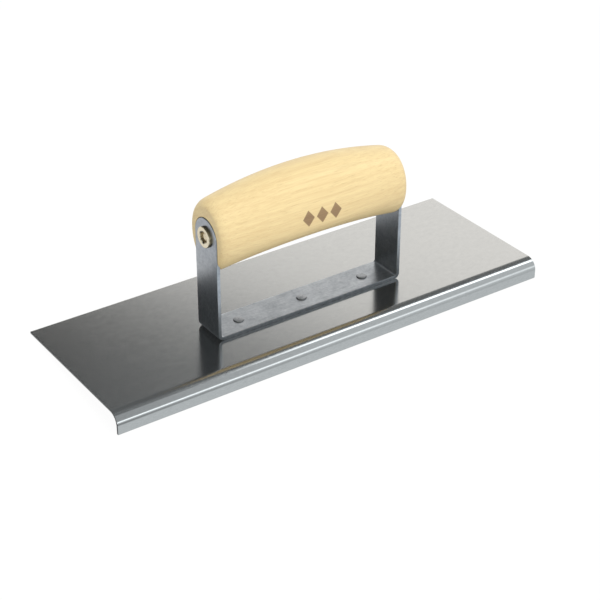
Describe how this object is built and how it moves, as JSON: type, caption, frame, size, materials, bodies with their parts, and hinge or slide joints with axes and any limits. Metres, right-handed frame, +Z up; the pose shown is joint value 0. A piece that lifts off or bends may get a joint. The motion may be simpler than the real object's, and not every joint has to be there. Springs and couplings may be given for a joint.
{
  "type": "concrete hand edger",
  "caption": "Flat steel blade with one long edge rolled down into a lip, and a wooden handle bolted between the ears of a riveted strap bracket, for rounding the edge of fresh concrete.",
  "frame": {"origin": "centre of the flat working face under the blade, midway along it and midway between its rear edge and the start of the bend", "axes": "+X along the blade, +Y from the rolled-down edge to the rear edge, +Z up from the working face to the handle"},
  "size_m": [0.254, 0.088, 0.0894],
  "materials": {
    "blade_steel": "satin stainless steel sheet, with a polished bend",
    "strap_steel": "zinc-coated steel strap, mottled grey",
    "rivet_steel": "plain steel rivets, slightly dull",
    "handle_wood": "pale straight-grained hardwood with a clear satin finish",
    "bolt_plating": "yellow zinc plating"
  },
  "bodies": {
    "root": {"blade": "blade_steel", "bracket": "strap_steel", "rivet_left": "rivet_steel", "rivet_middle": "rivet_steel", "rivet_right": "rivet_steel", "handle": "handle_wood", "handle_bolt": "bolt_plating", "sleeve_nut": "bolt_plating"}
  },
  "joints": []
}
